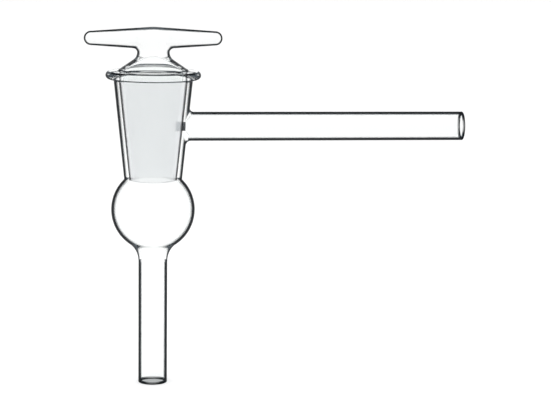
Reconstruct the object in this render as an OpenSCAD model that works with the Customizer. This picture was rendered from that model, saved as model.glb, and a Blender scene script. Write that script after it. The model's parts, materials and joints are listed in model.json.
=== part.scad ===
// Right-angle vacuum stopcock of borosilicate glass, in two pieces.
// The barrel is a tapered ground seat fused to a bulb with a stem below and to a side arm.
// The plug is a hollow ground cone, open at its foot, with a solid neck and cross-bar on top.
// The gas way runs stem, bulb, plug's foot, plug's side hole, port in the seat, side arm.
//
// Origin: centre of the stem's open end. +Z runs up the plug's axis, +X along the side arm.
// The plug is drawn open: its side hole faces the port and its handle lies along the side arm.

/* [Tubes] */
// Outer diameter of the stem and of the side arm
tube_od = 10; // [8:0.5:12]
// Wall thickness of the stem and of the side arm
tube_wall = 1.2; // [1:0.1:1.6]
// Straight length of the stem, up to where it flares into the bulb
stem_len = 43; // [20:1:90]
// Distance from the plug's axis to the open end of the side arm
arm_reach = 108; // [40:1:160]
// Height of the side arm's axis above the lower end of the seat
arm_height = 18.5; // [14:0.5:22]
// Radius of the melted glass where the side arm joins the barrel
arm_fillet_r = 1.5; // [1:0.1:2]

/* [Bulb] */
// Outer diameter of the bulb
bulb_od = 28.8; // [26:0.2:36]
// Wall thickness of the bulb
bulb_wall = 1.4; // [1.2:0.1:1.6]
// Radius of the flare from the stem into the bulb
flare_r = 7.4; // [5:0.1:9]

/* [Barrel and seat] */
// Diameter of the ground seat at its lower, small end
seat_small_d = 16; // [15:0.1:17]
// Length of the ground seat
seat_len = 37.5; // [34:0.5:46]
// Taper of the seat, as the angle between its wall and its axis in degrees
seat_angle = 6; // [5:0.5:7]
// Wall thickness of the barrel around the seat
barrel_wall = 1.9; // [1.7:0.1:2.3]
// How far the rim at the barrel's mouth stands out from the barrel's wall
rim_lip = 2.45; // [2:0.05:4]
// Radius of the rim's rounded edge
rim_edge_r = 1.4; // [1:0.1:1.6]
// Diameter of the port through the seat and of the plug's side hole
port_d = 3; // [2:0.5:4]

/* [Plug] */
// Running gap between the plug and the seat, measured square to the ground faces
grind_gap = 0.05; // [0.02:0.01:0.1]
// Wall thickness of the hollow plug
plug_wall = 2; // [1.8:0.1:2.4]
// Height of the ground cone that stands out of the barrel's mouth
plug_stand = 0.4; // [0.4:0.1:1.5]
// Slope of the plug's shoulder above the horizontal in degrees
shoulder_angle = 34; // [28:1:38]
// Diameter of the plug's neck at its waist
neck_d = 11.1; // [10:0.1:12]
// Radius of the hollow curve from the shoulder to the waist
neck_curve_r = 3.1; // [2.5:0.1:3.4]

/* [Handle] */
// Length of the cross-bar, over its round ends
bar_len = 47.2; // [36:0.2:60]
// Thickness of the cross-bar at its middle
bar_mid_d = 7.8; // [7:0.1:8.2]
// Thickness of the cross-bar at its ends
bar_end_d = 4.86; // [4:0.02:5.6]
// Height of the cross-bar's underside above the plug's waist
bar_rise = 0.9; // [0.8:0.1:2]

/* [Hidden] */

$fn = 96;

// Radius that the flame leaves on a cut tube end, and the least edge anywhere else
polish_r = 0.35;
// Melted glass where the bulb meets the barrel
joint_r = 0.8;
// Melted glass under the rim
rim_fillet_r = 0.8;
// How far a cutting shape runs past the wall that it cuts
past = 1;
// Radius of the round end of the plug's hollow
hollow_end_r = 5;

// Stem and bulb
tube_r = tube_od / 2;
bore_r = tube_r - tube_wall;
bulb_r = bulb_od / 2;
bulb_in_r = bulb_r - bulb_wall;
bulb_z = stem_len + sqrt(pow(bulb_r + flare_r, 2) - pow(tube_r + flare_r, 2));

// Seat and barrel
taper = tan(seat_angle);
seat_small_r = seat_small_d / 2;
seat_z = bulb_z + sqrt(pow(bulb_in_r, 2) - pow(seat_small_r, 2));
rim_z = seat_z + seat_len;
arm_z = seat_z + arm_height;
wall_out = barrel_wall / cos(seat_angle);
function seat_r(z) = seat_small_r + (z - seat_z) * taper;
rim_r = seat_r(rim_z) + wall_out + rim_lip - rim_edge_r;

// Plug
gap_out = grind_gap / cos(seat_angle);
plug_top_z = rim_z + plug_stand;
neck_r = neck_d / 2;
function plug_r(z) = seat_r(z) - gap_out;
function plug_in_r(z) = plug_r(z) - plug_wall / cos(seat_angle);

// The shoulder falls from the waist's hollow curve to the top edge of the ground cone
curve_foot_r = neck_r + neck_curve_r * (1 - sin(shoulder_angle));
waist_z = plug_top_z + (plug_r(plug_top_z) - curve_foot_r) * tan(shoulder_angle)
    + neck_curve_r * cos(shoulder_angle);

// Handle
bar_mid_r = bar_mid_d / 2;
bar_z = waist_z + bar_rise + bar_mid_r;
bar_end_r = bar_end_d / 2;
bar_end_x = bar_len / 2 - bar_end_r;
// Curve from the waist out to the underside of the cross-bar
handle_curve_r = 1.5;
// The hub is the swelling of the neck that carries the cross-bar
hub_r = neck_r + 0.5;
hub_top_z = bar_z + bar_mid_r - 0.6;

// Points along an arc about c from angle a0 to a1, at most 6 degrees apart
function arc(c, r, a0, a1) =
    let (n = max(2, ceil(abs(a1 - a0) / 6)))
    [for (i = [0:n]) let (a = a0 + (a1 - a0) * i / n) c + r * [cos(a), sin(a)]];

// Height of the centre of a circle of radius f that touches a ball of radius ball_r about
// the bulb's centre and, from outside, the cone that has radius cone_r at the seat's lower end
function touch_z(ball_r, cone_r, f) =
    let (
        r0 = cone_r + f / cos(seat_angle) + (bulb_z - seat_z) * taper,
        b = r0 * taper,
        a = 1 + taper * taper,
        d = pow(ball_r + f, 2) - r0 * r0
    )
    bulb_z + (sqrt(b * b + a * d) - b) / a;
function touch_r(cone_r, f, z) = cone_r + f / cos(seat_angle) + (z - seat_z) * taper;

// The arc of that circle, from the ball up to the cone
function ball_to_cone(ball_r, cone_r, f) =
    let (z = touch_z(ball_r, cone_r, f), r = touch_r(cone_r, f, z))
    arc([r, z], f, 180 + atan2(z - bulb_z, r), 180 - seat_angle);

// The arc from a tube of radius r_tube up into the ball
function tube_to_ball(ball_r, r_tube, f) =
    let (r = r_tube + f, dz = sqrt(pow(ball_r + f, 2) - r * r))
    arc([r, bulb_z - dz], f, 180, 180 - atan2(dz, r));

// The ball's own arc between those two
function ball_arc(ball_r, r_tube, f_low, cone_r, f_high) =
    let (
        low_r = r_tube + f_low,
        low_dz = sqrt(pow(ball_r + f_low, 2) - low_r * low_r),
        z = touch_z(ball_r, cone_r, f_high)
    )
    arc([0, bulb_z], ball_r, -atan2(low_dz, low_r), atan2(z - bulb_z, touch_r(cone_r, f_high, z)));

function reversed(list) = [for (i = [len(list) - 1:-1:0]) list[i]];

// Outside of the barrel, from the stem's end up to the rim's flat top
barrel_outside = concat(
    arc([tube_r - polish_r, polish_r], polish_r, -90, 0),
    tube_to_ball(bulb_r, tube_r, flare_r),
    ball_arc(bulb_r, tube_r, flare_r, seat_small_r + wall_out, joint_r),
    ball_to_cone(bulb_r, seat_small_r + wall_out, joint_r),
    arc(
        [
            seat_r(rim_z - 2 * rim_edge_r - rim_fillet_r) + wall_out + rim_fillet_r / cos(seat_angle),
            rim_z - 2 * rim_edge_r - rim_fillet_r
        ],
        rim_fillet_r, 180 - seat_angle, 90
    ),
    arc([rim_r, rim_z - rim_edge_r], rim_edge_r, -90, 90)
);

// Inside of the barrel, from the stem's end up the seat to its mouth
barrel_inside = concat(
    arc([bore_r + polish_r, polish_r], polish_r, 270, 180),
    tube_to_ball(bulb_in_r, bore_r, flare_r + tube_wall),
    ball_arc(bulb_in_r, bore_r, flare_r + tube_wall, seat_small_r, polish_r),
    ball_to_cone(bulb_in_r, seat_small_r, polish_r),
    [
        [seat_r(rim_z - polish_r), rim_z - polish_r],
        [seat_r(rim_z) + polish_r, rim_z]
    ]
);

// Side arm and the melted glass at its root, turned about the arm's axis. Its foot is buried
// in the middle of the barrel's wall, all round.
arm_root_x = seat_r(arm_z) + wall_out;
mid_wall_r = seat_r(arm_z) + wall_out / 2;
arm_foot_r = tube_r + arm_fillet_r;
arm_foot_x = sqrt(pow(mid_wall_r, 2) - pow(arm_foot_r, 2));
arm_outside = concat(
    [[0, arm_foot_x], [arm_foot_r, arm_foot_x]],
    arc([arm_foot_r, arm_root_x + arm_fillet_r], arm_fillet_r, 270, 180),
    arc([tube_r - polish_r, arm_reach - polish_r], polish_r, 0, 90),
    [[0, arm_reach]]
);

// Gas way of the side arm: its bore, a funnel in the barrel's wall and the port in the seat
funnel_x = arm_root_x + arm_fillet_r;
arm_bore = concat(
    [[0, seat_r(arm_z) / 2], [port_d / 2, seat_r(arm_z) / 2]],
    [[port_d / 2, mid_wall_r]],
    arc([bore_r - tube_wall, funnel_x], tube_wall, -60, 0),
    arc([bore_r + polish_r, arm_reach - polish_r], polish_r, 180, 90),
    [[bore_r + polish_r, arm_reach + past], [0, arm_reach + past]]
);

module along_arm() {
    translate([0, 0, arm_z]) rotate([0, 90, 0]) children();
}

module barrel() {
    color([0.86, 0.93, 0.93, 0.35])
    difference() {
        union() {
            rotate_extrude() polygon(concat(barrel_outside, reversed(barrel_inside)));
            difference() {
                along_arm() rotate_extrude() polygon(arm_outside);
                // The arm's root stops in the middle of the barrel's wall
                translate([0, 0, seat_z])
                    cylinder(
                        h = seat_len,
                        r1 = seat_small_r + wall_out / 2,
                        r2 = seat_r(rim_z) + wall_out / 2
                    );
            }
        }
        along_arm() rotate_extrude() polygon(arm_bore);
    }
}

// Outside of the plug, from its open foot up the ground cone and shoulder to the hub's top
plug_outside = concat(
    [[plug_r(seat_z) - polish_r, seat_z], [plug_r(seat_z + polish_r), seat_z + polish_r]],
    [
        [plug_r(plug_top_z - polish_r), plug_top_z - polish_r],
        [plug_r(plug_top_z) - polish_r, plug_top_z + polish_r * tan(shoulder_angle)]
    ],
    arc([neck_r + neck_curve_r, waist_z], neck_curve_r, 270 - shoulder_angle, 180),
    [[hub_r, bar_z]],
    [for (a = [6:6:90]) [hub_r * cos(a), bar_z + (hub_top_z - bar_z) * sin(a)]]
);

// Inside of the plug, from its foot up to the round end of the hollow under the neck
shoulder_in_z = plug_top_z - plug_wall / 2;
hollow_end_z = shoulder_in_z + plug_in_r(shoulder_in_z) * tan(shoulder_angle)
    - hollow_end_r / cos(shoulder_angle);
plug_inside = concat(
    [[plug_in_r(seat_z) + polish_r, seat_z], [plug_in_r(seat_z + polish_r), seat_z + polish_r]],
    [[plug_in_r(shoulder_in_z), shoulder_in_z]],
    arc([0, hollow_end_z], hollow_end_r, 90 - shoulder_angle, 90)
);

// The cross-bar tapers both ways from its middle to its round ends
bar_slope = asin((bar_mid_r - bar_end_r) / bar_end_x);
bar_end = arc([0, bar_end_x], bar_end_r, bar_slope, 90);
bar_outline = concat(
    [for (p = reversed(bar_end)) [p[0], -p[1]]],
    [[bar_mid_r / cos(bar_slope), 0]],
    bar_end
);

module along_bar() {
    translate([0, 0, bar_z]) rotate([0, 90, 0]) children();
}

// Glass that fills the corner between the neck and the cross-bar, no wider than the bar
module handle_corner() {
    corner_z = bar_z - bar_mid_r;
    intersection() {
        rotate_extrude() polygon(concat(
            [[0, waist_z]],
            arc([neck_r + handle_curve_r, corner_z - handle_curve_r / 2], handle_curve_r, 180, 90),
            [[neck_r + handle_curve_r, bar_z], [0, bar_z]]
        ));
        translate([0, 0, -handle_curve_r / 2]) along_bar()
            cylinder(h = bar_len, r = bar_mid_r, center = true);
    }
}

module plug() {
    color([0.80, 0.82, 0.84, 0.6])
    difference() {
        union() {
            rotate_extrude() polygon(concat([[0, seat_z]], plug_outside));
            along_bar() rotate_extrude() polygon(bar_outline);
            handle_corner();
        }
        rotate_extrude() polygon(concat(
            [[0, seat_z - past], [plug_in_r(seat_z) + polish_r, seat_z - past]],
            plug_inside
        ));
        along_arm() cylinder(h = seat_r(arm_z) + past, d = port_d);
    }
}

barrel();
plug();
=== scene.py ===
import json
from math import asin, atan2, ceil, cos, exp, pi, radians, sin, sqrt, tan

import bmesh
import bpy
from mathutils import Matrix, Quaternion, Vector


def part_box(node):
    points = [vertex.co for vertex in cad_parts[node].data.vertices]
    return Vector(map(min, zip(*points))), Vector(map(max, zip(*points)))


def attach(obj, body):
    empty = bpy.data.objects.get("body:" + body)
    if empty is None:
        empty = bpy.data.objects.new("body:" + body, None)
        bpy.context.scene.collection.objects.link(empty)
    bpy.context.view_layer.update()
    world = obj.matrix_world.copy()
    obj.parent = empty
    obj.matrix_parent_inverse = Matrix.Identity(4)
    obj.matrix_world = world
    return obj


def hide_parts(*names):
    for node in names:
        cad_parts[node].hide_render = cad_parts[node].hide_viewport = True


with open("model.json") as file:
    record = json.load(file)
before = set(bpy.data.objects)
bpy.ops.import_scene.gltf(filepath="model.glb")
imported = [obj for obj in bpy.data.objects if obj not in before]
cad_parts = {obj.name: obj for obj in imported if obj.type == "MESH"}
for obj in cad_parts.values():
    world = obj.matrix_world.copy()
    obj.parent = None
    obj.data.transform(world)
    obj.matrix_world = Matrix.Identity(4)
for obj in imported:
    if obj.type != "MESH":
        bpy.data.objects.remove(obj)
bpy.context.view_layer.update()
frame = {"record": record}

bl_info = {
    "name": "Vacuum Stopcock",
    "version": (1, 0, 0),
    "blender": (4, 5, 0),
    "location": "3D View > Sidebar > Stopcock",
    "description": "Builds the glass of a right-angle vacuum stopcock around its packed frame",
    "category": "Object",
}

MM = 0.001

MOUNTS = {mount["name"]: mount for mount in frame["record"]["mounts"]}
_, BARREL_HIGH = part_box("barrel")
PLUG_LOW, PLUG_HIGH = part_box("plug")

# Places that the frame fixes
TUBE_R = MOUNTS["stem"]["dims"]["r_mm"] * MM
ARM_REACH = MOUNTS["arm"]["pos_m"][0]
ARM_Z = MOUNTS["arm"]["pos_m"][2]
SEAT_Z = PLUG_LOW.z
RIM_Z = BARREL_HIGH.z
RIM_R = BARREL_HIGH.y
BAR_HALF = PLUG_HIGH.x

# Radius that the flame leaves on a cut tube end, and the least edge anywhere else
POLISH_R = 0.35 * MM
STEM_LEN = MOUNTS["stem"]["dims"]["length_mm"] * MM + POLISH_R

# Faces round each turned shape
BARREL_STEPS = 120
PLUG_STEPS = 96
BAR_STEPS = 48
HOLE_STEPS = 32
# Widest step of the rows round a bend: cut edges, small fillets, curves, flares and the bulb
EDGE_STEP = radians(12)
FILLET_STEP = radians(8)
BAR_END_STEP = radians(7.5)
CURVE_STEP = radians(6)
FLARE_STEP = radians(4)
BULB_STEP = radians(3)
# Height of one row of faces on the tapered walls
ROW = 0.8 * MM
# A row laid this far from a bend keeps the long straight walls shading straight
SUPPORT = 0.4 * MM
# Points closer together than this are one point
MERGE = 0.001 * MM
# A distance too small to see
HAIR = 0.01 * MM
# Slack at the limits between two kinds of glass
SLACK = 0.1 * MM
# Edges that bend more than this stay sharp
SHARP = radians(40)
# Rows of faces that join the arm to the barrel's wall and the bar to the neck
JOIN_CUTS = 3


# ---------------------------------------------------------------- properties

def length(name, description, default, low, high):
    return bpy.props.FloatProperty(
        name=name, description=description, default=default, min=low, max=high,
        unit="LENGTH", subtype="DISTANCE", precision=5,
    )


def slope(name, description, default, low, high):
    return bpy.props.FloatProperty(
        name=name, description=description, default=radians(default), min=radians(low),
        max=radians(high), subtype="ANGLE", unit="ROTATION",
    )


def share(name, description, default):
    return bpy.props.FloatProperty(
        name=name, description=description, default=default, min=0, max=1, subtype="FACTOR",
    )


def colour(name, description, default):
    return bpy.props.FloatVectorProperty(
        name=name, description=description, default=default, size=4, min=0, max=1,
        subtype="COLOR",
    )


class STOPCOCK_PG_barrel(bpy.types.PropertyGroup):
    tube_wall: length("Tube wall", "Wall of the stem and the side arm", 1.2 * MM, 1 * MM, 1.6 * MM)
    bulb_diameter: length("Bulb diameter", "Outside of the bulb", 28.8 * MM, 26 * MM, 36 * MM)
    bulb_wall: length("Bulb wall", "Wall of the bulb", 1.4 * MM, 1.2 * MM, 1.6 * MM)
    flare: length("Flare", "Radius of the flare from stem to bulb", 7.4 * MM, 5 * MM, 9 * MM)
    seat_diameter: length(
        "Seat diameter", "Small end of the ground seat", 16 * MM, 15 * MM, 17 * MM)
    seat_angle: slope("Seat angle", "Angle between the seat's wall and its axis", 6, 5, 7)
    wall: length("Wall", "Wall of the barrel around the seat", 1.9 * MM, 1.7 * MM, 2.3 * MM)
    rim_edge: length("Rim edge", "Radius of the rim's rounded edge", 1.4 * MM, 1 * MM, 1.6 * MM)
    port: length("Port", "Diameter of the port and the side hole", 3 * MM, 2 * MM, 4 * MM)
    arm_fillet: length("Arm fillet", "Melted glass at the arm's root", 1.5 * MM, 1 * MM, 2 * MM)


class STOPCOCK_PG_plug(bpy.types.PropertyGroup):
    gap: length("Grind gap", "Gap between plug and seat", 0.05 * MM, 0.02 * MM, 0.1 * MM)
    wall: length("Plug wall", "Wall of the hollow plug", 2 * MM, 1.8 * MM, 2.4 * MM)
    stand: length("Stand", "Ground cone that stands out of the rim", 0.4 * MM, 0.4 * MM, 1.5 * MM)
    shoulder: slope("Shoulder", "Slope of the shoulder above the horizontal", 34, 28, 38)
    waist: length("Waist", "Diameter of the neck at its waist", 11.1 * MM, 10 * MM, 12 * MM)
    neck_curve: length("Neck curve", "Hollow curve under the waist", 3.1 * MM, 2.5 * MM, 3.4 * MM)
    bar_middle: length("Bar middle", "Thickness of the bar's middle", 7.8 * MM, 7 * MM, 8.2 * MM)
    bar_end: length("Bar end", "Thickness of the bar's ends", 4.86 * MM, 4 * MM, 5.6 * MM)
    hub: length("Hub", "How far the bar swells out sideways at the neck", 2.25 * MM, 0, 3 * MM)


class STOPCOCK_PG_glass(bpy.types.PropertyGroup):
    clear: colour("Clear glass", "Glass looked at squarely", (0.965, 0.975, 0.972, 1))
    # Painted shade: edge is the near-black colour that glass is painted where it is looked at
    # along its wall, standing in for its dark outline; bore is the same for the bores, much
    # lighter
    edge: colour("Glass edge painted shade", "Glass looked at along its wall", (0.005, 0.007, 0.009, 1))
    bore: colour("Bore edge painted shade", "Bore wall looked at along it", (0.86, 0.88, 0.885, 1))
    ground: colour("Ground glass", "Ground faces of plug and seat", (0.98, 0.985, 0.99, 1))
    # Tilts at which the painted edge shade is half in, for each kind of glass
    bar_edge: share("Bar edge", "Tilt at which the thin ends of the bar are half darkened", 0.33)
    rim_edge: share("Rim edge", "Tilt at which the rim's top and foot are half darkened", 0.18)
    tube_edge: share("Tube edge", "Tilt at which a narrow tube is half darkened", 0.38)
    body_edge: share("Body edge", "Tilt at which the bulb and the barrel are half darkened", 0.58)
    seat_edge: share("Seat edge", "Tilt at which a ground face is half darkened", 0.7)
    coat: share("Shine", "Strength of the clear highlights", 0.04)


class STOPCOCK_PG_studio(bpy.types.PropertyGroup):
    floor: colour("Floor", "Pale studio floor", (0.9, 0.9, 0.9, 1))
    world: bpy.props.FloatProperty(
        name="Room light", description="Strength of the pale room", default=1.0, min=0, max=5,
    )
    key: bpy.props.FloatProperty(
        name="Key light", description="Power of the large soft box", default=3, min=0, max=100,
        unit="POWER",
    )
    lens: bpy.props.FloatProperty(
        name="Lens", description="Focal length", default=125 * MM, min=0.02, max=0.3,
        unit="CAMERA",
    )


def settings(part):
    """The settings of the barrel, plug, glass or studio."""
    return getattr(bpy.context.scene, "stopcock_" + part)


def add_object(name, data):
    """Adds an object to the scene, at the origin."""
    made = bpy.data.objects.new(name, data)
    bpy.context.scene.collection.objects.link(made)
    return made


# ------------------------------------------------------------------ outlines

class Outline:
    """Half section of a turned glass part, drawn point by point in the XZ plane."""

    def __init__(self, bm, r, z):
        self.bm = bm
        self.point = bm.verts.new((r, 0, z))
        self.first = self.point

    def line(self, r, z, rows=1, support=False):
        """Draws a straight wall; support lays one more row close to each end."""
        start, end = self.point.co.copy(), Vector((r, 0, z))
        stops = [row / rows for row in range(1, rows + 1)]
        if support:
            close = SUPPORT / (end - start).length
            stops = [close] + [stop for stop in stops if close < stop < 1 - close] + [1 - close, 1]
        for stop in stops:
            self.point = bmesh.ops.extrude_vert_indiv(self.bm, verts=[self.point])["verts"][0]
            self.point.co = start.lerp(end, stop)

    def corner(self, r, z, next_r, next_z, radius, rows=1, support=False):
        """Draws a straight wall to a rounded corner that bends towards the next one."""
        here = Vector((r, 0, z))
        back = (self.point.co - here).normalized()
        ahead = (Vector((next_r, 0, next_z)) - here).normalized()
        half = back.angle(ahead) / 2
        centre = here + (back + ahead).normalized() * radius / sin(half)
        start = here + back * radius / tan(half)
        self.line(start.x, start.z, rows, support)
        left = ahead.x * back.z > ahead.z * back.x
        self.arc(centre.x, centre.z, (pi - 2 * half) * (1 if left else -1), finest=EDGE_STEP)

    def arc(self, centre_r, centre_z, angle, finest=FLARE_STEP):
        """Draws a bend; a positive angle turns from +X towards +Z."""
        spun = bmesh.ops.spin(
            self.bm, geom=[self.point], cent=(centre_r, 0, centre_z), axis=(0, -1, 0),
            angle=angle, steps=max(4, ceil(abs(angle) / finest)),
        )
        self.point = next(v for v in spun["geom_last"] if isinstance(v, bmesh.types.BMVert))

    def close(self):
        """Joins the last point to the first."""
        self.bm.edges.new((self.point, self.first))


def turn_whole(bm, steps):
    """Spins the drawn outline once round the Z axis and closes its seam and poles."""
    bmesh.ops.spin(
        bm, geom=bm.verts[:] + bm.edges[:], axis=(0, 0, 1), angle=2 * pi, steps=steps,
        use_merge=True,
    )
    bmesh.ops.remove_doubles(bm, verts=bm.verts, dist=MERGE)


def rows_of(height):
    return max(1, round(abs(height) / ROW))


def border_of(faces):
    chosen = set(faces)
    return [
        e for e in {edge for face in chosen for edge in face.edges}
        if sum(face in chosen for face in e.link_faces) == 1
    ]


def join_to_wall(bm, ring, window, settle, cuts):
    """Opens a window in a wall, fills it out to a ring of edges and settles the new glass."""
    border = border_of(window)
    bmesh.ops.delete(bm, geom=window, context="FACES")
    kept = set(border) | set(ring)
    bridged = bmesh.ops.bridge_loops(bm, edges=border + ring)
    crossing = [e for e in {e for f in bridged["faces"] for e in f.edges} if e not in kept]
    if cuts:
        cut = bmesh.ops.subdivide_edges(bm, edges=crossing, cuts=cuts, use_grid_fill=False)
        for piece in cut["geom_inner"]:
            if isinstance(piece, bmesh.types.BMVert):
                piece.co = settle(piece.co)


def add_mesh(bm, other):
    """Adds another bmesh's glass to bm."""
    passed = bpy.data.meshes.new("passed")
    other.to_mesh(passed)
    other.free()
    bm.from_mesh(passed)
    bpy.data.meshes.remove(passed)


def finish_piece(bm, name, glass, pick):
    """Gives each face the kind of glass that pick names, and makes the object."""
    bmesh.ops.recalc_face_normals(bm, faces=bm.faces)
    slots = {kind: slot for slot, kind in enumerate(glass)}
    for face in bm.faces:
        face.smooth = True
        face.material_index = slots[pick(face.calc_center_median(), face.normal)]
    for edge in bm.edges:
        if not edge.is_manifold:
            raise RuntimeError(f"{name} has an open edge at {edge.verts[0].co}")
        edge.smooth = edge.calc_face_angle() < SHARP
    mesh = bpy.data.meshes.new(name)
    bm.to_mesh(mesh)
    bm.free()
    for material in glass.values():
        mesh.materials.append(material)
    return add_object(name, mesh)


# ----------------------------------------------------------- shared dimensions

def seat_radius(z):
    """Radius of the ground seat at a height."""
    props = settings("barrel")
    return props.seat_diameter / 2 + (z - SEAT_Z) * tan(props.seat_angle)


def wall_out():
    """Level thickness of the barrel's slanting wall."""
    props = settings("barrel")
    return props.wall / cos(props.seat_angle)


def wall_x(y, z, offset):
    """Where a line along X meets the cone that stands offset outside the seat."""
    return sqrt(max((seat_radius(z) + offset) ** 2 - y * y, 0))


def touch_point(bulb_z, ball_r, cone_r, fillet):
    """Centre (r, z) of a bend that touches the bulb and, from outside, the cone above it."""
    angle = settings("barrel").seat_angle
    taper = tan(angle)
    r0 = cone_r + fillet / cos(angle) + (bulb_z - SEAT_Z) * taper
    b, a = r0 * taper, 1 + taper * taper
    z = bulb_z + (sqrt(b * b + a * ((ball_r + fillet) ** 2 - r0 * r0)) - b) / a
    return cone_r + fillet / cos(angle) + (z - SEAT_Z) * taper, z


# -------------------------------------------------------------------- barrel

# Melted glass where the bulb meets the barrel, and under the rim
JOINT_R = 0.8 * MM
RIM_FILLET_R = 0.8 * MM
# Height of the flame-thickened lip at a cut tube end, whose faces are darkened with the polished
# edge's painted shade
POLISHED_END = 0.6 * MM
# The ground faces end this far below the rim's top
GROUND_DROP = 3.4 * MM
# Half the height and width of the opening that takes the arm's root, and the port's
ARM_WINDOW = 8 * MM
PORT_WINDOW = 2.4 * MM
# Faces of the arm's opening further out from the seat than this stay in the barrel's wall
WINDOW_REACH = 2.6 * MM
# The bend of the arm's root fades out along this much of the arm
ROOT_FADE = 6 * MM
# The port widens into the arm's bore round a bend of this much
FUNNEL_BEND = pi / 3
# Rows of faces along the stem, the arm, the port and the port's funnel
STEM_ROWS = 10
ARM_ROWS = 12
PORT_ROWS = 2
FUNNEL_ROWS = 3
# Width of the polished edge round the barrel's mouth, darkened with painted shade
MOUTH_EDGE = 0.4 * MM
# The rim's top and foot are flat where their normals stand steeper than this, and there take the
# bore glass's lighter painted shade
RIM_FLAT = 0.97
# A face of the barrel belongs to its inside when it looks towards the axis by more than this
BARREL_INWARD = -0.2


def draw_barrel(bm):
    """The barrel's whole wall, outside and inside, without the arm."""
    props = settings("barrel")
    angle, flare, edge = props.seat_angle, props.flare, props.rim_edge
    bulb_r, seat_r = props.bulb_diameter / 2, props.seat_diameter / 2
    bore_r = TUBE_R - props.tube_wall
    bend_r = TUBE_R + flare
    bulb_z = STEM_LEN + sqrt((bulb_r + flare) ** 2 - bend_r ** 2)

    # Outside: stem, flare, bulb, slanting wall
    line = Outline(bm, TUBE_R - POLISH_R, 0)
    line.arc(TUBE_R - POLISH_R, POLISH_R, pi / 2, finest=EDGE_STEP)
    line.line(TUBE_R, STEM_LEN, rows=STEM_ROWS, support=True)
    low = atan2(bulb_z - STEM_LEN, bend_r)
    line.arc(bend_r, STEM_LEN, -low)
    joint_r, joint_z = touch_point(bulb_z, bulb_r, seat_r + wall_out(), JOINT_R)
    top = atan2(joint_z - bulb_z, joint_r)
    line.arc(0, bulb_z, low + top, finest=BULB_STEP)
    line.arc(joint_r, joint_z, -(top + angle), finest=FILLET_STEP)
    fillet_z = RIM_Z - 2 * edge - RIM_FILLET_R
    fillet_r = seat_radius(fillet_z) + wall_out() + RIM_FILLET_R / cos(angle)
    line.line(
        fillet_r - RIM_FILLET_R * cos(angle), fillet_z + RIM_FILLET_R * sin(angle),
        rows=rows_of(RIM_Z - SEAT_Z), support=True,
    )

    # Rim
    line.arc(fillet_r, fillet_z, angle - pi / 2, finest=FILLET_STEP)
    line.line(RIM_R - edge, RIM_Z - 2 * edge, support=True)
    line.arc(RIM_R - edge, RIM_Z - edge, pi, finest=FILLET_STEP)
    mouth_r = seat_radius(RIM_Z - POLISH_R) + POLISH_R / cos(angle)
    line.line(mouth_r, RIM_Z, support=True)
    line.arc(mouth_r, RIM_Z - POLISH_R, pi / 2 - angle, finest=EDGE_STEP)

    # Inside: seat, bulb, flare, bore of the stem
    bulb_in_r = bulb_r - props.bulb_wall
    lip_r, lip_z = touch_point(bulb_z, bulb_in_r, seat_r, POLISH_R)
    line.line(
        lip_r - POLISH_R * cos(angle), lip_z + POLISH_R * sin(angle),
        rows=rows_of(RIM_Z - SEAT_Z), support=True,
    )
    top = atan2(lip_z - bulb_z, lip_r)
    line.arc(lip_r, lip_z, top + angle, finest=EDGE_STEP)
    inner_z = bulb_z - sqrt((bulb_in_r + flare + props.tube_wall) ** 2 - bend_r ** 2)
    low = atan2(bulb_z - inner_z, bend_r)
    line.arc(0, bulb_z, -(top + low), finest=BULB_STEP)
    line.arc(bend_r, inner_z, low)
    line.line(bore_r, POLISH_R, rows=STEM_ROWS, support=True)
    line.arc(bore_r + POLISH_R, POLISH_R, pi / 2, finest=EDGE_STEP)
    line.close()
    turn_whole(bm, BARREL_STEPS)


def draw_arm(steps):
    """The side arm from the port in the seat out and back to its root on the barrel's wall."""
    props = settings("barrel")
    wall, fillet = props.tube_wall, props.arm_fillet
    bore_r, port_r = TUBE_R - wall, props.port / 2
    seat_x = seat_radius(ARM_Z)
    root_x = seat_x + wall_out()
    bend_x = root_x + fillet

    bm = bmesh.new()
    line = Outline(bm, port_r, seat_x)
    line.line(port_r, seat_x + wall_out() / 2, rows=PORT_ROWS)
    line.line(
        bore_r - wall * (1 - cos(FUNNEL_BEND)), bend_x - wall * sin(FUNNEL_BEND),
        rows=FUNNEL_ROWS,
    )
    line.arc(bore_r - wall, bend_x, FUNNEL_BEND, finest=FILLET_STEP)
    line.line(bore_r, ARM_REACH - POLISH_R, rows=ARM_ROWS, support=True)
    line.arc(bore_r + POLISH_R, ARM_REACH - POLISH_R, -pi / 2, finest=EDGE_STEP)
    line.line(TUBE_R - POLISH_R, ARM_REACH)
    line.arc(TUBE_R - POLISH_R, ARM_REACH - POLISH_R, -pi / 2, finest=EDGE_STEP)
    line.line(TUBE_R, bend_x, rows=ARM_ROWS, support=True)
    line.arc(TUBE_R + fillet, bend_x, pi / 2, finest=CURVE_STEP)
    turn_whole(bm, steps)
    bmesh.ops.rotate(bm, verts=bm.verts, matrix=Matrix.Rotation(pi / 2, 3, "Y"))
    bmesh.ops.translate(bm, verts=bm.verts, vec=(0, 0, ARM_Z))

    # The root follows the round, slanting wall, and the port's edge follows the seat
    for vert in bm.verts:
        x, y, z = vert.co
        if sqrt(y * y + (z - ARM_Z) ** 2) > TUBE_R - HAIR:
            fade = min(max(1 - (x - bend_x) / ROOT_FADE, 0), 1)
            vert.co.x += fade * (wall_x(y, z, wall_out()) - root_x)
        elif x < seat_x + HAIR:
            vert.co.x = wall_x(y, z, 0)
    return bm


def wall_window(bm, half, outside, middle):
    """Faces on the +X side of a slanting wall, around the arm's height."""
    chosen = []
    for face in bm.faces:
        x, y, z = face.calc_center_median()
        if x > 0 and abs(y) < half and abs(z - ARM_Z) < half:
            if (sqrt(x * x + y * y) > seat_radius(z) + middle) == outside:
                chosen.append(face)
    return chosen


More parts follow.
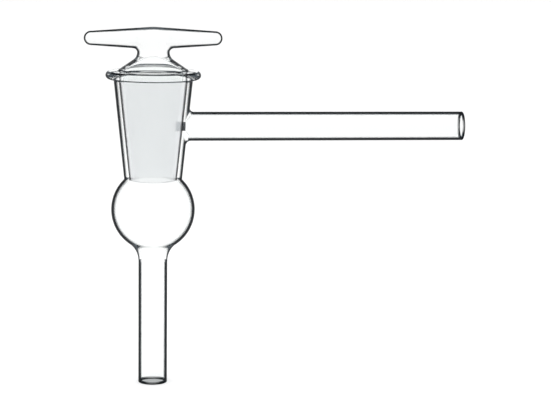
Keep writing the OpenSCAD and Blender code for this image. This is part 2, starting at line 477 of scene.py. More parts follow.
def barrel_glass(centre, normal):
    """The kind of glass that a face of the barrel is."""
    props = settings("barrel")
    x, y, z = centre
    away, from_arm = sqrt(x * x + y * y), sqrt(y * y + (z - ARM_Z) ** 2)
    # Polished and port faces are painted darker: painted shade for the outlines of the cut ends,
    # the mouth and the port
    if z < POLISHED_END or x > ARM_REACH - POLISHED_END:
        return "polished"
    if from_arm < TUBE_R + SLACK and x > seat_radius(z) + 0.5 * SLACK:
        if from_arm < props.port / 2 + 0.2 * SLACK:
            return "port"
        return "bore" if normal.y * y + normal.z * (z - ARM_Z) < 0 else "tube"
    if z > RIM_Z - 2 * props.rim_edge - SLACK and away > seat_radius(z):
        if away < seat_radius(RIM_Z) + MOUTH_EDGE:
            return "polished"
        return "bore" if abs(normal.z) > RIM_FLAT else "rim"
    if (normal.x * x + normal.y * y) / away > BARREL_INWARD:
        return "tube" if z < STEM_LEN else "body"
    if z > RIM_Z - POLISHED_END:
        return "polished"
    return "ground" if SEAT_Z < z < RIM_Z - GROUND_DROP else "bore"


class STOPCOCK_OT_barrel(bpy.types.Operator):
    """Blows the barrel: stem, bulb, ground seat, rim and side arm in one piece of glass"""
    bl_idname = "stopcock.barrel"
    bl_label = "Barrel"

    def execute(self, context):
        bm = bmesh.new()
        draw_barrel(bm)
        middle = wall_out() / 2
        arm_window = wall_window(bm, ARM_WINDOW, True, middle)
        port_window = wall_window(bm, PORT_WINDOW, False, middle)
        if not arm_window or not port_window:
            raise RuntimeError("the barrel's wall has no room for the arm")
        add_mesh(bm, draw_arm(len(border_of(arm_window))))
        open_edges = [e for e in bm.edges if e.is_boundary]
        if not open_edges:
            raise RuntimeError("the arm wasn't added")

        def from_arm_axis(edge):
            y, z = edge.verts[0].co.y, edge.verts[0].co.z - ARM_Z
            return sqrt(y * y + z * z)

        root = [e for e in open_edges if from_arm_axis(e) > TUBE_R]
        port = [e for e in open_edges if from_arm_axis(e) <= TUBE_R]
        reach = seat_radius(ARM_Z) + WINDOW_REACH
        arm_window = [f for f in arm_window if f.calc_center_median().x < reach]
        join_to_wall(
            bm, root, arm_window, cuts=JOIN_CUTS,
            settle=lambda co: Vector((wall_x(co.y, co.z, wall_out()), co.y, co.z)),
        )
        join_to_wall(bm, port, port_window, cuts=0, settle=None)
        barrel = finish_piece(
            bm, "barrel_glass",
            {
                "body": body_glass(),
                "tube": tube_glass(),
                "bore": bore_glass(),
                "ground": ground_glass("Ground seat", SEAT_MILK),
                "polished": polished_edge_painted_shade(),
                "port": drilled_port_painted_shade(),
                "rim": rim_glass(),
            },
            barrel_glass,
        )
        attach(barrel, "barrel")
        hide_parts("barrel")
        return {"FINISHED"}


# ---------------------------------------------------------------------- plug

# Rounding of the top edge of the ground cone, and of the corner inside under the shoulder
CONE_EDGE_R = 0.45 * MM
INNER_EDGE_R = 1.2 * MM
# The neck runs into the bar's underside this far out, and the bar's opening reaches further
NECK_REACH = 7.05 * MM
BAR_WINDOW = 8.3 * MM
BAR_WINDOW_ANGLE = radians(105)
NECK_ROWS = 10
SHOULDER_ROWS = 3
# How strongly the neck holds its direction at its two ends
NECK_PULL = 1.17
# A small turn round the axis, for the direction of a curve
SMALL_TURN = 0.01
# Round end of the plug's hollow under the neck
HOLLOW_END_R = 5 * MM
# Softness of the ridge where the bar's two tapers meet
RIDGE_SOFT = 0.6 * MM
# The hub fades into the bar over this length
HUB_LENGTH = 7 * MM
# A face of the plug belongs to its inside when it looks towards the axis by more than this
PLUG_INWARD = -0.1
# The ground cone's faces look up or down by less than this
CONE_LEVEL = 0.3
# Depth and height of the polished band at the cone's top edge, darkened with painted shade
BAND_DEPTH = 0.35 * MM
BAND_HEIGHT = 0.45 * MM


def plug_radius(z):
    """Radius of the ground cone at a height."""
    return seat_radius(z) - settings("plug").gap / cos(settings("barrel").seat_angle)


def waist_height():
    """Height of the neck's waist, where the shoulder's hollow curve ends."""
    plug = settings("plug")
    top = RIM_Z + plug.stand
    foot_r = plug.waist / 2 + plug.neck_curve * (1 - sin(plug.shoulder))
    rise = (plug_radius(top) - foot_r) * tan(plug.shoulder)
    return top + rise + plug.neck_curve * cos(plug.shoulder)


def bar_height():
    """Height of the cross-bar's axis."""
    return PLUG_HIGH.z - settings("plug").bar_middle / 2


def bar_taper():
    """Radius and centre of the cross-bar's round end, and the slope up to its middle."""
    plug = settings("plug")
    end_r = plug.bar_end / 2
    end_x = BAR_HALF - end_r
    return end_r, end_x, asin((plug.bar_middle / 2 - end_r) / end_x)


def bar_section(x):
    """Half height and half width of the cross-bar at a place along it."""
    plug = settings("plug")
    end_r, end_x, slope = bar_taper()
    if abs(x) > end_x + end_r * sin(slope):
        half = sqrt(max(end_r ** 2 - (abs(x) - end_x) ** 2, 0))
        return half, half
    half = plug.bar_middle / 2 / cos(slope) - tan(slope) * sqrt(x * x + RIDGE_SOFT ** 2)
    return half, half + plug.hub * exp(-(x / HUB_LENGTH) ** 2)


def on_bar(co):
    """Nearest place on the cross-bar's skin, straight out from its axis."""
    half, wide = bar_section(co.x)
    turn = atan2(co.y / wide, (co.z - bar_height()) / half) if half else 0
    return Vector((co.x, wide * sin(turn), bar_height() + half * cos(turn)))


def neck_end(turn):
    """Where the neck runs into the bar, at an angle round the plug's axis."""
    x = NECK_REACH * cos(turn)
    half, wide = bar_section(x)
    return Vector((
        x, wide * sin(turn) * sqrt(1 + cos(turn) ** 2), bar_height() - half * cos(turn) ** 2))


def bar_normal(co):
    """Direction away from the cross-bar's skin."""
    def depth(p):
        half, wide = bar_section(p.x)
        return (p.y / wide) ** 2 + ((p.z - bar_height()) / half) ** 2
    return Vector([
        depth(co + HAIR * axis) - depth(co - HAIR * axis)
        for axis in (Vector((1, 0, 0)), Vector((0, 1, 0)), Vector((0, 0, 1)))
    ]).normalized()


def draw_plug(bm):
    """The hollow ground cone, its shoulder and its neck up to the waist."""
    angle = settings("barrel").seat_angle
    plug = settings("plug")
    top, waist_z, waist_r = RIM_Z + plug.stand, waist_height(), plug.waist / 2
    inner_z, wall = top - plug.wall / 2, plug.wall / cos(angle)
    bend_r = waist_r + plug.neck_curve
    down = 1.5 * pi - plug.shoulder

    # Hollow, from its round end under the neck down to the foot
    end_z = inner_z + (plug_radius(inner_z) - wall) * tan(plug.shoulder) - HOLLOW_END_R / cos(
        plug.shoulder)
    line = Outline(bm, 0, end_z + HOLLOW_END_R)
    line.arc(0, end_z, -plug.shoulder, finest=FLARE_STEP)
    line.corner(
        plug_radius(inner_z) - wall, inner_z, plug_radius(SEAT_Z) - wall, SEAT_Z,
        INNER_EDGE_R, support=True,
    )
    rows = rows_of(RIM_Z - SEAT_Z)
    line.corner(
        plug_radius(SEAT_Z) - wall, SEAT_Z, plug_radius(SEAT_Z), SEAT_Z,
        POLISH_R, rows=rows, support=True,
    )

    # Ground cone, shoulder and hollow curve
    line.corner(plug_radius(SEAT_Z), SEAT_Z, plug_radius(top), top, POLISH_R)
    shoulder_r = bend_r + plug.neck_curve * cos(down)
    shoulder_z = waist_z + plug.neck_curve * sin(down)
    line.corner(
        plug_radius(top), top, shoulder_r, shoulder_z, CONE_EDGE_R, rows=rows, support=True)
    line.line(shoulder_r, shoulder_z, rows=SHOULDER_ROWS, support=True)
    line.arc(bend_r, waist_z, plug.shoulder - pi / 2, finest=CURVE_STEP)
    turn_whole(bm, PLUG_STEPS)


def draw_neck(bm):
    """Draws the waist's ring up into the curve where the neck meets the cross-bar."""
    turns = []
    for _ in range(NECK_ROWS):
        ring = [e for e in bm.edges if e.is_boundary]
        bmesh.ops.extrude_edge_only(bm, edges=ring)
        new = {v for e in bm.edges if e.is_boundary for v in e.verts}
        turns.append({v: (atan2(v.co.y, v.co.x), v.co.copy()) for v in new})
    for row, verts in enumerate(turns, 1):
        for vert, (turn, foot) in verts.items():
            end = neck_end(turn)
            along = neck_end(turn + SMALL_TURN) - neck_end(turn - SMALL_TURN)
            outward = bar_normal(end).cross(along).normalized()
            reach = NECK_PULL * (end - foot).length
            s = row / NECK_ROWS
            vert.co = (
                foot * (2 * s ** 3 - 3 * s ** 2 + 1)
                + Vector((0, 0, reach)) * (s ** 3 - 2 * s ** 2 + s)
                + end * (3 * s ** 2 - 2 * s ** 3)
                + outward * reach * (s ** 3 - s ** 2)
            )


def draw_bar():
    """The tapered cross-bar, swollen sideways into a hub over the neck."""
    _, end_x, slope = bar_taper()
    bm = bmesh.new()
    line = Outline(bm, 0, -BAR_HALF)
    line.arc(0, -end_x, pi / 2 - slope, finest=BAR_END_STEP)
    line.line(line.point.co.x, -line.point.co.z, rows=2 * round(end_x / ROW / 2 + 0.5))
    line.arc(0, end_x, pi / 2 - slope, finest=BAR_END_STEP)
    turn_whole(bm, BAR_STEPS)
    bmesh.ops.rotate(bm, verts=bm.verts, matrix=Matrix.Rotation(pi / 2, 3, "Y"))
    bmesh.ops.translate(bm, verts=bm.verts, vec=(0, 0, bar_height()))
    for vert in bm.verts:
        if bar_section(vert.co.x)[0] > 2 * HAIR:
            vert.co = on_bar(vert.co)
    return bm


def draw_side_hole():
    """The plug's side hole, an open tube whose rims follow the two sides of the wall."""
    plug, barrel = settings("plug"), settings("barrel")
    outside = -plug.gap / cos(barrel.seat_angle)
    inside = -(plug.gap + plug.wall) / cos(barrel.seat_angle)
    bm = bmesh.new()
    bmesh.ops.create_circle(bm, segments=HOLE_STEPS, radius=barrel.port / 2)
    outer = set(bm.verts)
    bmesh.ops.extrude_edge_only(bm, edges=bm.edges[:])
    bmesh.ops.rotate(bm, verts=bm.verts, matrix=Matrix.Rotation(pi / 2, 3, "Y"))
    bmesh.ops.translate(bm, verts=bm.verts, vec=(0, 0, ARM_Z))
    for vert in bm.verts:
        vert.co.x = wall_x(vert.co.y, vert.co.z, outside if vert in outer else inside)
    return bm


def plug_glass(centre, normal):
    """The kind of glass that a face of the plug is."""
    plug = settings("plug")
    hole_r = settings("barrel").port / 2
    x, y, z = centre
    away, skin = sqrt(x * x + y * y), plug_radius(z)
    # Side hole faces take the hole's painted shade, and the band at the cone's top the polished
    # edge's painted shade
    if x > 0 and sqrt(y * y + (z - ARM_Z) ** 2) < hole_r:
        if skin - plug.wall < away < skin - 0.2 * SLACK:
            return "hole"
    if z < waist_height() and (normal.x * x + normal.y * y) / away < PLUG_INWARD:
        return "bore"
    if z < waist_height() and away < HOLLOW_END_R and normal.z < 0:
        return "bore"
    if away > skin - SLACK and z < RIM_Z - GROUND_DROP and abs(normal.z) < CONE_LEVEL:
        return "ground"
    if away > skin - BAND_DEPTH and abs(z - RIM_Z - plug.stand) < BAND_HEIGHT:
        return "polished"
    return "bar" if z > bar_height() - plug.bar_middle / 2 else "neck"


class STOPCOCK_OT_plug(bpy.types.Operator):
    """Makes the plug: hollow ground cone, side hole, neck and cross-bar in one piece of glass"""
    bl_idname = "stopcock.plug"
    bl_label = "Plug"

    def execute(self, context):
        plug = settings("plug")
        bm = bmesh.new()
        draw_plug(bm)
        draw_neck(bm)
        neck = [e for e in bm.edges if e.is_boundary]
        middle = -(plug.gap + plug.wall / 2)
        windows = [wall_window(bm, PORT_WINDOW, outside, middle) for outside in (True, False)]

        old = set(bm.faces)
        add_mesh(bm, draw_bar())
        bar_z = bar_height()
        bar_window = []
        for face in bm.faces:
            if face not in old:
                x, y, z = face.calc_center_median()
                half, wide = bar_section(x)
                turn = abs(atan2(y / wide, (bar_z - z) / half))
                if abs(x) < BAR_WINDOW and turn < BAR_WINDOW_ANGLE:
                    bar_window.append(face)
        join_to_wall(bm, neck, bar_window, settle=on_bar, cuts=JOIN_CUTS)

        add_mesh(bm, draw_side_hole())
        rims = [e for e in bm.edges if e.is_boundary]
        for window, side in zip(windows, (1, -1)):
            rim = [
                e for e in rims
                if side * (sqrt(e.verts[0].co.x ** 2 + e.verts[0].co.y ** 2)
                           - seat_radius(e.verts[0].co.z) - middle) > 0
            ]
            join_to_wall(bm, rim, window, settle=None, cuts=0)
        piece = finish_piece(
            bm, "plug_glass",
            {
                "bar": bar_glass(),
                "bore": bore_glass(),
                "ground": ground_glass("Ground plug", PLUG_MILK),
                "polished": polished_edge_painted_shade(),
                "hole": drilled_hole_painted_shade(),
                "neck": neck_glass(),
            },
            plug_glass,
        )
        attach(piece, "plug")
        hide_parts("plug")
        return {"FINISHED"}


# ------------------------------------------------------------------ materials

# Index of the walls and of the narrow tubes, low so that what lies behind stays in its place
BODY_IOR = 1.02
TUBE_IOR = 1.06
# How softly the painted shade comes in towards a clear wall's edge
EDGE_SOFTNESS = 0.08
# How much later than the body the painted shade darkens the rim and the neck, and how much earlier
# the bar
THICK_LATER = 0.1
BAR_EARLIER = 0.08
# How much later than a tube the painted shade darkens the waist, and the height over which that
# comes in
WAIST_LATER = 0.06
WAIST_FADE = 5 * MM
# The rim's painted shade changes between these shares of its edge, the bar's within this share of
# it
RIM_FADE = (0.45, 0.85)
BAR_FADE = 0.6
# Milkiness of the ground seat, the ground cone, the drilled port and the drilled side hole
SEAT_MILK = 0.1
PLUG_MILK = 0.25
PORT_MILK = 0.9
HOLE_MILK = 0.4
# Painted shade: the drilled port is painted dark and the side hole light grey, standing in for the
# shade inside the holes
PORT_PAINTED_SHADE = (0.16, 0.17, 0.18, 1)
HOLE_PAINTED_SHADE = (0.82, 0.84, 0.85, 1)
# What is left of a lamp's light behind clear and behind ground glass
CLEAR_SHADOW = (0.93, 0.94, 0.945, 1)
GROUND_SHADOW = (0.85, 0.86, 0.87, 1)
# Height of the bumps that flame or grinding leaves
BUMP_HEIGHT = 0.02 * MM
# Share of the rings in the height of the grain, and how far the grain varies the roughness
RING_SHARE = 0.3
GRAIN_SPREAD = 0.15
# Brightness of the worn places of a ground face
WORN = 0.96


def node(tree, kind, place, values=None, **properties):
    """Adds a node, sets its own properties and then the values of its inputs."""
    made = tree.nodes.new(kind)
    made.location = place
    for name, value in properties.items():
        setattr(made, name, value)
    for socket, value in (values or {}).items():
        made.inputs[socket].default_value = value
    return made


def group_of(name, inputs, outputs):
    """An empty shader group with named inputs (name, type, default) and outputs (name, type)."""
    group = bpy.data.node_groups.new(name, "ShaderNodeTree")
    for label, kind, default in inputs:
        socket = group.interface.new_socket(label, in_out="INPUT", socket_type=kind)
        if default is not None:
            socket.default_value = default
    for label, kind in outputs:
        group.interface.new_socket(label, in_out="OUTPUT", socket_type=kind)
    into = node(group, "NodeGroupInput", (-600, 0))
    return group, into, node(group, "NodeGroupOutput", (600, 0))


def painted_edge_shade():
    """Group: painted shade that darkens glass where it is looked at along its wall."""
    if "Painted edge shade" in bpy.data.node_groups:
        return bpy.data.node_groups["Painted edge shade"]
    group, into, out = group_of(
        "Painted edge shade",
        [
            ("Tilt", "NodeSocketFloat", 0.0),
            ("Square on", "NodeSocketColor", (1, 1, 1, 1)),
            ("Painted shade along the wall", "NodeSocketColor", (0, 0, 0, 1)),
            ("Half dark", "NodeSocketFloat", 0.5),
            ("Softness", "NodeSocketFloat", 0.1),
        ],
        [("Color", "NodeSocketColor")],
    )
    start = node(group, "ShaderNodeMath", (-450, -100), operation="SUBTRACT")
    full = node(group, "ShaderNodeMath", (-450, -300), operation="ADD")
    span = node(group, "ShaderNodeMapRange", (-300, 0), interpolation_type="SMOOTHSTEP")
    mix = node(group, "ShaderNodeMix", (200, 0), data_type="RGBA")
    link = group.links.new
    link(into.outputs["Tilt"], span.inputs["Value"])
    for edge, side in ((start, "From Min"), (full, "From Max")):
        link(into.outputs["Half dark"], edge.inputs[0])
        link(into.outputs["Softness"], edge.inputs[1])
        link(edge.outputs[0], span.inputs[side])
    link(span.outputs["Result"], mix.inputs["Factor"])
    link(into.outputs["Square on"], mix.inputs["A"])
    link(into.outputs["Painted shade along the wall"], mix.inputs["B"])
    link(mix.outputs["Result"], out.inputs["Color"])
    return group


def flame_work():
    """Group: the unevenness that blowing leaves in a wall, and the smudges of handling."""
    if "Flame work" in bpy.data.node_groups:
        return bpy.data.node_groups["Flame work"]
    group, into, out = group_of(
        "Flame work",
        [
            ("Vector", "NodeSocketVector", None),
            ("Wave scale", "NodeSocketFloat", 90.0),
            ("Smudge scale", "NodeSocketFloat", 60.0),
            ("Clean", "NodeSocketFloat", 0.01),
            ("Handled", "NodeSocketFloat", 0.05),
        ],
        [("Height", "NodeSocketFloat"), ("Roughness", "NodeSocketFloat")],
    )
    wave = node(group, "ShaderNodeTexNoise", (-300, 200), {"Detail": 1})
    smudge = node(group, "ShaderNodeTexNoise", (-300, -200), {"Detail": 4})
    span = node(
        group, "ShaderNodeMapRange", (100, -200), {"From Min": 0.45, "From Max": 0.75},
        interpolation_type="SMOOTHSTEP")
    link = group.links.new
    for noise, scale in ((wave, "Wave scale"), (smudge, "Smudge scale")):
        link(into.outputs["Vector"], noise.inputs["Vector"])
        link(into.outputs[scale], noise.inputs["Scale"])
    link(smudge.outputs["Fac"], span.inputs["Value"])
    link(into.outputs["Clean"], span.inputs["To Min"])
    link(into.outputs["Handled"], span.inputs["To Max"])
    link(wave.outputs["Fac"], out.inputs["Height"])
    link(span.outputs["Result"], out.inputs["Roughness"])
    return group


def grinding():
    """Group: the fine grain of ground glass, with the faint rings of its turning."""
    if "Grinding" in bpy.data.node_groups:
        return bpy.data.node_groups["Grinding"]
    group, into, out = group_of(
        "Grinding",
        [
            ("Vector", "NodeSocketVector", None),
            ("Grain scale", "NodeSocketFloat", 5000.0),
            ("Ring scale", "NodeSocketFloat", 500.0),
            ("Color", "NodeSocketColor", (0.8, 0.8, 0.8, 1)),
            ("Worn color", "NodeSocketColor", (0.7, 0.7, 0.7, 1)),
            ("Roughness", "NodeSocketFloat", 0.5),
        ],
        [
            ("Color", "NodeSocketColor"), ("Roughness", "NodeSocketFloat"),
            ("Height", "NodeSocketFloat"),
        ],
    )
    grain = node(group, "ShaderNodeTexNoise", (-300, 300), {"Detail": 3})
    rings = node(
        group, "ShaderNodeTexWave", (-300, 0), {"Distortion": 1.5, "Detail": 1},
        bands_direction="Z")
    wear = node(group, "ShaderNodeTexNoise", (-300, -300), {"Scale": 150})
    add = node(group, "ShaderNodeMath", (0, 200), {1: RING_SHARE}, operation="MULTIPLY_ADD")
    mix = node(group, "ShaderNodeMix", (200, 0), data_type="RGBA")
    rough = node(
        group, "ShaderNodeMath", (200, -300), {1: GRAIN_SPREAD}, operation="MULTIPLY_ADD")
    link = group.links.new
    for texture in (grain, rings, wear):
        link(into.outputs["Vector"], texture.inputs["Vector"])
    link(into.outputs["Grain scale"], grain.inputs["Scale"])
    link(into.outputs["Ring scale"], rings.inputs["Scale"])
    link(rings.outputs["Fac"], add.inputs[0])
    link(grain.outputs["Fac"], add.inputs[2])
    link(add.outputs[0], out.inputs["Height"])
    link(wear.outputs["Fac"], mix.inputs["Factor"])
    link(into.outputs["Color"], mix.inputs["A"])
    link(into.outputs["Worn color"], mix.inputs["B"])
    link(mix.outputs["Result"], out.inputs["Color"])
    link(grain.outputs["Fac"], rough.inputs[0])
    link(into.outputs["Roughness"], rough.inputs[2])
    link(rough.outputs[0], out.inputs["Roughness"])
    return group


def shader_of(name, values):
    """A new material's tree with its Principled shader, set to values, and its coordinates."""
    material = bpy.data.materials.new(name)
    material.use_nodes = True
    tree = material.node_tree
    tree.nodes.clear()
    out = node(tree, "ShaderNodeOutputMaterial", (900, 0))
    shader = node(tree, "ShaderNodeBsdfPrincipled", (300, 0), values)
    place = node(tree, "ShaderNodeTexCoord", (-900, 0))
    return material, tree, out, shader, place


def let_lamps_through(tree, shader, out, tint):
    """Glass casts a pale shadow: lamps' rays pass it, a little dimmed."""
    path = node(tree, "ShaderNodeLightPath", (300, 400))
    clear = node(tree, "ShaderNodeBsdfTransparent", (300, 150), {"Color": tint})
    mix = node(tree, "ShaderNodeMixShader", (650, 100))
    tree.links.new(path.outputs["Is Shadow Ray"], mix.inputs["Fac"])
    tree.links.new(shader.outputs["BSDF"], mix.inputs[1])
    tree.links.new(clear.outputs["BSDF"], mix.inputs[2])
    tree.links.new(mix.outputs["Shader"], out.inputs["Surface"])


def blown_glass(name, tilt, ior, change=None, softness=EDGE_SOFTNESS, edge=None, coat=None):
    """Clear fire-finished glass, painted with shade that darkens it where it is looked at along
    its wall.

    change is (axis, middle, start, end, tilt at the end): the tilt, and with it the painted shade,
    changes with the distance from the middle along the axis, towards where the glass grows
    thinner.
    """
    if name in bpy.data.materials:
        return bpy.data.materials[name]
    look = settings("glass")
    material, tree, out, shader, place = shader_of(name, {
        "Transmission Weight": 1,
        "IOR": ior,
        "Coat Weight": coat or look.coat,
        "Coat Roughness": 0.03,
        "Coat IOR": 1.5,
    })
    weight = node(tree, "ShaderNodeLayerWeight", (-600, 200), {"Blend": 0.5})
    tone = node(tree, "ShaderNodeGroup", (-200, 200), node_tree=painted_edge_shade(), values={
        "Square on": look.clear,
        "Painted shade along the wall": edge or look.edge,
        "Half dark": tilt,
        "Softness": softness,
    })
    work = node(tree, "ShaderNodeGroup", (-600, -200), node_tree=flame_work())
    bumps = node(tree, "ShaderNodeBump", (-200, -200), {"Distance": BUMP_HEIGHT})
    link = tree.links.new
    link(weight.outputs["Facing"], tone.inputs["Tilt"])
    link(place.outputs["Object"], work.inputs["Vector"])
    link(work.outputs["Height"], bumps.inputs["Height"])
    link(tone.outputs["Color"], shader.inputs["Base Color"])
    link(work.outputs["Roughness"], shader.inputs["Roughness"])
    link(bumps.outputs["Normal"], shader.inputs["Normal"])
    if change:
        axis, middle, start, end, last = change
        axes = node(tree, "ShaderNodeSeparateXYZ", (-700, 500))
        offset = node(tree, "ShaderNodeMath", (-550, 650), {1: middle}, operation="SUBTRACT")
        distance = node(tree, "ShaderNodeMath", (-550, 500), operation="ABSOLUTE")
        span = node(
            tree, "ShaderNodeMapRange", (-400, 500),
            {"From Min": start, "From Max": end, "To Min": tilt, "To Max": last},
            interpolation_type="SMOOTHSTEP")
        link(place.outputs["Object"], axes.inputs["Vector"])
        link(axes.outputs[axis], offset.inputs[0])
        link(offset.outputs[0], distance.inputs[0])
        link(distance.outputs[0], span.inputs["Value"])
        link(span.outputs["Result"], tone.inputs["Half dark"])
    let_lamps_through(tree, shader, out, CLEAR_SHADOW)
    return material


def body_glass():
    return blown_glass("Body glass", settings("glass").body_edge, BODY_IOR)


def tube_glass():
    return blown_glass("Tube glass", settings("glass").tube_edge, TUBE_IOR)


def rim_glass():
    look, edge = settings("glass"), settings("barrel").rim_edge
    start, end = (part * edge for part in RIM_FADE)
    return blown_glass(
        "Rim glass", look.body_edge + THICK_LATER, BODY_IOR,
        ("Z", RIM_Z - edge, start, end, look.rim_edge))


def bar_glass():
    look = settings("glass")
    return blown_glass(
        "Bar glass", look.body_edge - BAR_EARLIER, TUBE_IOR,
        ("X", 0, 0, BAR_FADE * BAR_HALF, look.bar_edge))


def neck_glass():
    look, waist = settings("glass"), waist_height()
    return blown_glass(
        "Neck glass", look.body_edge + THICK_LATER, TUBE_IOR,
        ("Z", 0, waist - WAIST_FADE, waist, look.tube_edge + WAIST_LATER))


def bore_glass():
    # Painted shade: bore walls darken a little where they are looked at along them
    return blown_glass(
        "Bore glass", 0.75, BODY_IOR, softness=0.15, edge=settings("glass").bore, coat=0.1)


def polished_edge_painted_shade():
    # Painted shade: the cut ends, the mouth and the band at the plug cone's top are painted darker
    # than clear glass, standing in for their dark outlines
    return blown_glass("Polished edge painted shade", -0.1, BODY_IOR, softness=0.4)


def drilled_port_painted_shade():
    # Painted shade: the port is painted dark, standing in for the shade inside it
    return ground_glass("Drilled port painted shade", PORT_MILK, PORT_PAINTED_SHADE)


def drilled_hole_painted_shade():
    # Painted shade: the side hole is painted light grey, standing in for the shade inside it
    return ground_glass("Drilled side hole painted shade", HOLE_MILK, HOLE_PAINTED_SHADE)


def ground_glass(name, milk, shade=None):
    """Ground face, painted with shade where it is looked at along its wall; milk, from 0 to 1,
    sets how little of it is clear; shade, when given, is a painted shade colour in place of the
    ground glass's own.
    """
    if name in bpy.data.materials:
        return bpy.data.materials[name]
    look = settings("glass")
    material, tree, out, shader, place = shader_of(
        name, {"Transmission Weight": 1 - milk / 2, "IOR": BODY_IOR})
    shade = shade or look.ground
    work = node(tree, "ShaderNodeGroup", (-400, 0), node_tree=grinding(), values={
        "Color": shade,
        "Worn color": [WORN * c for c in shade[:3]] + [1],
        "Roughness": 0.35 + 0.15 * milk,
    })
    weight = node(tree, "ShaderNodeLayerWeight", (-400, 300), {"Blend": 0.5})
    tone = node(tree, "ShaderNodeGroup", (0, 300), node_tree=painted_edge_shade(), values={
        "Painted shade along the wall": look.edge,
        "Half dark": look.seat_edge,
        "Softness": EDGE_SOFTNESS,
    })
    bumps = node(
        tree, "ShaderNodeBump", (0, -300), {"Distance": BUMP_HEIGHT, "Strength": 0.6})
    link = tree.links.new
    link(place.outputs["Object"], work.inputs["Vector"])
    link(weight.outputs["Facing"], tone.inputs["Tilt"])
    link(work.outputs["Color"], tone.inputs["Square on"])
    link(tone.outputs["Color"], shader.inputs["Base Color"])
    link(work.outputs["Roughness"], shader.inputs["Roughness"])
    link(work.outputs["Height"], bumps.inputs["Height"])
    link(bumps.outputs["Normal"], shader.inputs["Normal"])
    let_lamps_through(tree, shader, out, GROUND_SHADOW)
    return material


# ---------------------------------------------------------------------- stage

FLOOR_HALF = 30
# What the lamps aim at, and the place and size of the two soft boxes, in metres
LAMP_AIM = (0.04, 0, 0.062)
KEY_PLACE, KEY_SIZE = (-0.35, -0.55, 0.75), 0.5
FILL_PLACE, FILL_SIZE = (0.9, -0.5, 0.5), 0.6
# Power of the fill light as a share of the key light's
FILL_SHARE = 0.5
CEILING_STRENGTH, CEILING_ANGLE = 1.6, radians(60)
# Grey of the room straight overhead; it is white at eye level and below
ROOM_TOP = (0.45, 0.45, 0.45, 1)
LIGHT_BOUNCES = 24
GLOSSY_BOUNCES = 6
# Camera's turn, lift and roll in degrees, and what its view is centred on and how wide it is
CAMERA_TURN = -7.3
CAMERA_LIFT = 8.9
CAMERA_ROLL = 0.72
VIEW_CENTRE = Vector((0.0429, 0, 0.06125))
VIEW_WIDTH = 192.15 * MM
CLIP_END = 100


def soft_box(name, place, size, power):
    """Adds a square lamp that aims at the stopcock."""
    lamp = bpy.data.lights.new(name, "AREA")
    lamp.shape, lamp.size, lamp.energy = "SQUARE", size, power
    box = add_object(name, lamp)
    box.location = place
    box.rotation_mode = "QUATERNION"
    box.rotation_quaternion = (Vector(LAMP_AIM) - Vector(place)).to_track_quat("-Z", "Y")


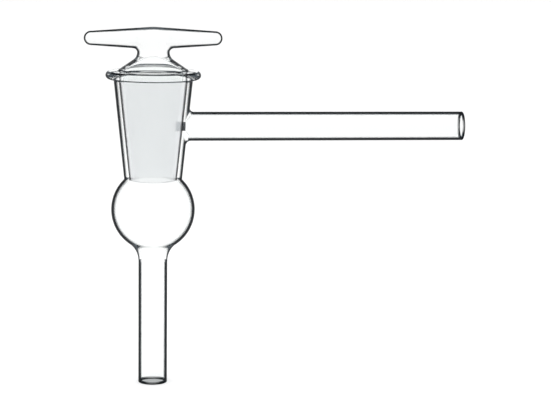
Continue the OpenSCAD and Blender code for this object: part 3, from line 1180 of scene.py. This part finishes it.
class STOPCOCK_OT_stage(bpy.types.Operator):
    """Sets up the pale floor, the soft light and the camera"""
    bl_idname = "stopcock.stage"
    bl_label = "Stage"

    def execute(self, context):
        scene, studio = context.scene, settings("studio")

        bm = bmesh.new()
        bmesh.ops.create_grid(bm, x_segments=8, y_segments=8, size=FLOOR_HALF)
        mesh = bpy.data.meshes.new("studio_floor")
        bm.to_mesh(mesh)
        bm.free()
        floor = add_object("studio_floor", mesh)
        material, tree, out, shader, _ = shader_of(
            "Studio floor", {"Base Color": studio.floor, "Roughness": 0.9})
        tree.links.new(shader.outputs["BSDF"], out.inputs["Surface"])
        mesh.materials.append(material)

        soft_box("key_light", KEY_PLACE, KEY_SIZE, studio.key)
        soft_box("fill_light", FILL_PLACE, FILL_SIZE, FILL_SHARE * studio.key)
        sun = bpy.data.lights.new("ceiling_light", "SUN")
        sun.energy, sun.angle = CEILING_STRENGTH, CEILING_ANGLE
        add_object("ceiling_light", sun)

        world = bpy.data.worlds.new("Studio room")
        scene.world = world
        world.use_nodes = True
        tree = world.node_tree
        tree.nodes.clear()
        out = node(tree, "ShaderNodeOutputWorld", (600, 0))
        light = node(tree, "ShaderNodeBackground", (400, 0), {"Strength": studio.world})
        place = node(tree, "ShaderNodeTexCoord", (-400, 0))
        axes = node(tree, "ShaderNodeSeparateXYZ", (-200, 0))
        ramp = node(tree, "ShaderNodeValToRGB", (0, 0))
        ramp.color_ramp.elements[0].position = 0.0
        ramp.color_ramp.elements[0].color = (1, 1, 1, 1)
        ramp.color_ramp.elements[1].position = 1.0
        ramp.color_ramp.elements[1].color = ROOM_TOP
        tree.links.new(place.outputs["Generated"], axes.inputs["Vector"])
        tree.links.new(axes.outputs["Z"], ramp.inputs["Fac"])
        tree.links.new(ramp.outputs["Color"], light.inputs["Color"])
        tree.links.new(light.outputs["Background"], out.inputs["Surface"])

        scene.view_settings.view_transform = "Standard"
        scene.view_settings.look = "None"
        cycles = scene.cycles
        cycles.max_bounces = LIGHT_BOUNCES
        cycles.transmission_bounces = LIGHT_BOUNCES
        cycles.transparent_max_bounces = LIGHT_BOUNCES
        cycles.glossy_bounces = GLOSSY_BOUNCES
        cycles.caustics_reflective = False
        cycles.caustics_refractive = False
        cycles.use_denoising = True

        camera = bpy.data.cameras.new("camera")
        camera.lens = studio.lens / MM
        camera.clip_end = CLIP_END
        eye = add_object("camera", camera)
        turn, lift = radians(CAMERA_TURN), radians(CAMERA_LIFT)
        back = Vector((sin(turn) * cos(lift), -cos(turn) * cos(lift), sin(lift)))
        distance = camera.lens * VIEW_WIDTH / camera.sensor_width
        eye.location = VIEW_CENTRE + back * distance
        eye.rotation_mode = "QUATERNION"
        eye.rotation_quaternion = (-back).to_track_quat("-Z", "Y") @ Quaternion(
            (0, 0, 1), radians(CAMERA_ROLL))
        scene.camera = eye
        return {"FINISHED"}


class STOPCOCK_PT_panel(bpy.types.Panel):
    """Sizes, looks and building steps of the stopcock"""
    bl_idname = "STOPCOCK_PT_panel"
    bl_label = "Vacuum stopcock"
    bl_space_type = "VIEW_3D"
    bl_region_type = "UI"
    bl_category = "Stopcock"

    def draw(self, context):
        for title, name in SETTINGS.items():
            box = self.layout.box()
            box.label(text=title)
            group = getattr(context.scene, name)
            for prop in group.bl_rna.properties:
                if prop.identifier not in ("rna_type", "name"):
                    box.prop(group, prop.identifier)
        for operator in OPERATORS:
            self.layout.operator(operator.bl_idname)


SETTINGS = {
    "Barrel": "stopcock_barrel",
    "Plug": "stopcock_plug",
    "Glass": "stopcock_glass",
    "Studio": "stopcock_studio",
}
GROUPS = (STOPCOCK_PG_barrel, STOPCOCK_PG_plug, STOPCOCK_PG_glass, STOPCOCK_PG_studio)
OPERATORS = (STOPCOCK_OT_barrel, STOPCOCK_OT_plug, STOPCOCK_OT_stage)


def register():
    for cls in GROUPS + OPERATORS + (STOPCOCK_PT_panel,):
        bpy.utils.register_class(cls)
    for name, group in zip(SETTINGS.values(), GROUPS):
        setattr(bpy.types.Scene, name, bpy.props.PointerProperty(type=group))


def unregister():
    for name in SETTINGS.values():
        delattr(bpy.types.Scene, name)
    for cls in reversed(GROUPS + OPERATORS + (STOPCOCK_PT_panel,)):
        bpy.utils.unregister_class(cls)


def main():
    register()
    bpy.ops.stopcock.barrel()
    bpy.ops.stopcock.plug()
    bpy.ops.stopcock.stage()


if __name__ == "__main__":
    main()
